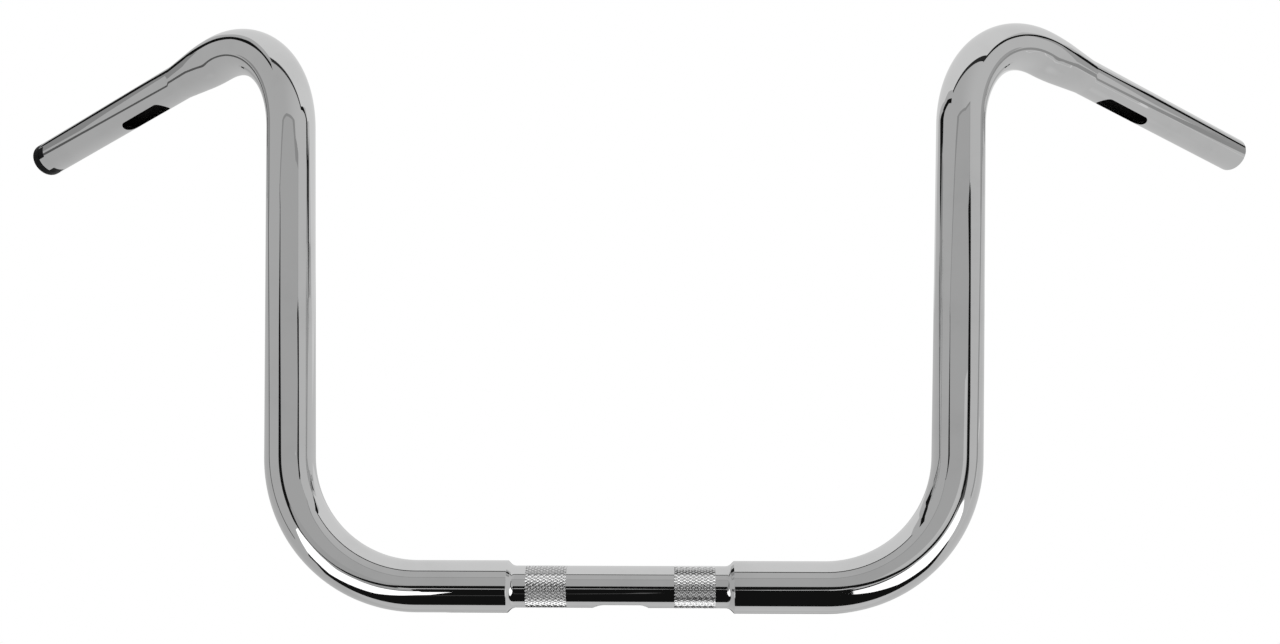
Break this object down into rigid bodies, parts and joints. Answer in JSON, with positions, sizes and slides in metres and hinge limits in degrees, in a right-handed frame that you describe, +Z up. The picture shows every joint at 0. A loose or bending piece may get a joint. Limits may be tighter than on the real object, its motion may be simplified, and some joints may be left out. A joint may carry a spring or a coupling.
{
  "type": "ape hanger handlebar",
  "caption": "Chromed ape hanger handlebar: a tall bent tube with a knurled clamp section, swept-back grips, wiring slots and a notched throttle end with a black insert.",
  "frame": {"origin": "middle of the clamp section, on the tube's axis", "axes": "+X along the clamp section towards the plain grip end, +Y back towards the rider, +Z up between the risers; the side that the bar's front shows faces -Y"},
  "size_m": [0.9455, 0.2022, 0.3989],
  "materials": {
    "chrome_tube": "mirror polished chrome plate on steel",
    "black_insert": "matte moulded"
  },
  "bodies": {
    "root": {"handlebar": "chrome_tube", "throttle_end_insert": "black_insert"}
  },
  "joints": []
}
